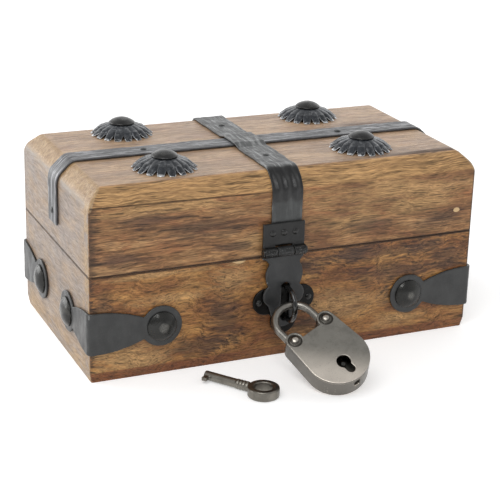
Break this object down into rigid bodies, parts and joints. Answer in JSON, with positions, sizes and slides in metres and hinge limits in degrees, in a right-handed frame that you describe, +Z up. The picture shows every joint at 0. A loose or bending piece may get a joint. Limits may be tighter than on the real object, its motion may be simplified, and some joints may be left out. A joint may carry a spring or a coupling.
{
  "type": "treasure chest box",
  "caption": "Wooden treasure chest with a hinged bevelled lid, dark iron straps, fluted rosettes, corner straps, a hasp and staple, a round padlock and its barrel key.",
  "frame": {"origin": "middle of the chest's flat underside", "axes": "+Z up, X along the length of the chest, front with the hasp towards -Y"},
  "size_m": [0.212, 0.1711, 0.1027],
  "materials": {
    "wood": "satin oiled, burnt edges",
    "iron": "satin black, hammered",
    "pewter": "brushed antique pewter",
    "spring_steel": "plain"
  },
  "bodies": {
    "base": {"base_back_board": "wood", "base_bottom_panel": "wood", "base_front_board": "wood", "base_left_board": "wood", "base_right_board": "wood", "corner_nails": "iron", "corner_strap_back_left": "iron", "corner_strap_back_right": "iron", "corner_strap_front_left": "iron", "corner_strap_front_right": "iron", "hinge_left_base_leaf": "iron", "hinge_left_pin": "iron", "hinge_right_base_leaf": "iron", "hinge_right_pin": "iron", "hinge_screws_base": "iron", "plate_nails": "iron", "staple": "iron", "staple_plate": "iron"},
    "lid": {"cross_strap": "iron", "hasp_nails": "iron", "hasp_pin": "iron", "hasp_upper_leaf": "iron", "hinge_left_lid_leaf": "iron", "hinge_right_lid_leaf": "iron", "hinge_screws_lid": "iron", "lid_back_board": "wood", "lid_front_board": "wood", "lid_left_board": "wood", "lid_right_board": "wood", "lid_top_board": "wood", "long_strap": "iron", "rosette_back_left": "iron", "rosette_back_right": "iron", "rosette_front_left": "iron", "rosette_front_right": "iron", "rosette_nails": "iron", "strap_nails": "iron"},
    "hasp": {"hasp_leaf": "iron"},
    "shackle": {"lock_shackle": "pewter"},
    "lock_case": {"lock_front_plate": "pewter", "lock_back_case": "pewter", "heel_rivet": "pewter", "toe_rivet": "pewter", "key_post": "spring_steel", "lock_latch": "spring_steel"},
    "key": {"key": "pewter"}
  },
  "joints": [
    {"name": "lid_open", "type": "hinge", "parent": "base", "child": "lid", "pos_m": [0, 0.05615, 0.0528], "axis": [-1, 0, 0], "range_deg": [0, 105]},
    {"name": "padlock_take_off", "type": "slide", "parent": "base", "child": "shackle", "axis": [0, -1, 0], "range_m": [0, 0.15]},
    {"name": "hasp_swing", "type": "hinge", "parent": "lid", "child": "hasp", "pos_m": [-0.005, -0.05815, 0.056], "axis": [-1, 0, 0], "range_deg": [0, 170]},
    {"name": "padlock_open", "type": "hinge", "parent": "shackle", "child": "lock_case", "pos_m": [0.00767, -0.0789, 0.02431], "axis": [-0.2094, -0.5055, 0.8371], "range_deg": [0, 90]},
    {"name": "key_lift", "type": "slide", "parent": "base", "child": "key", "axis": [0, 0, 1], "range_m": [0, 0.1]}
  ],
  "couplings": [
    {"joint": "hasp_swing", "follows": "padlock_take_off", "rad_per_m": 19.78}
  ]
}
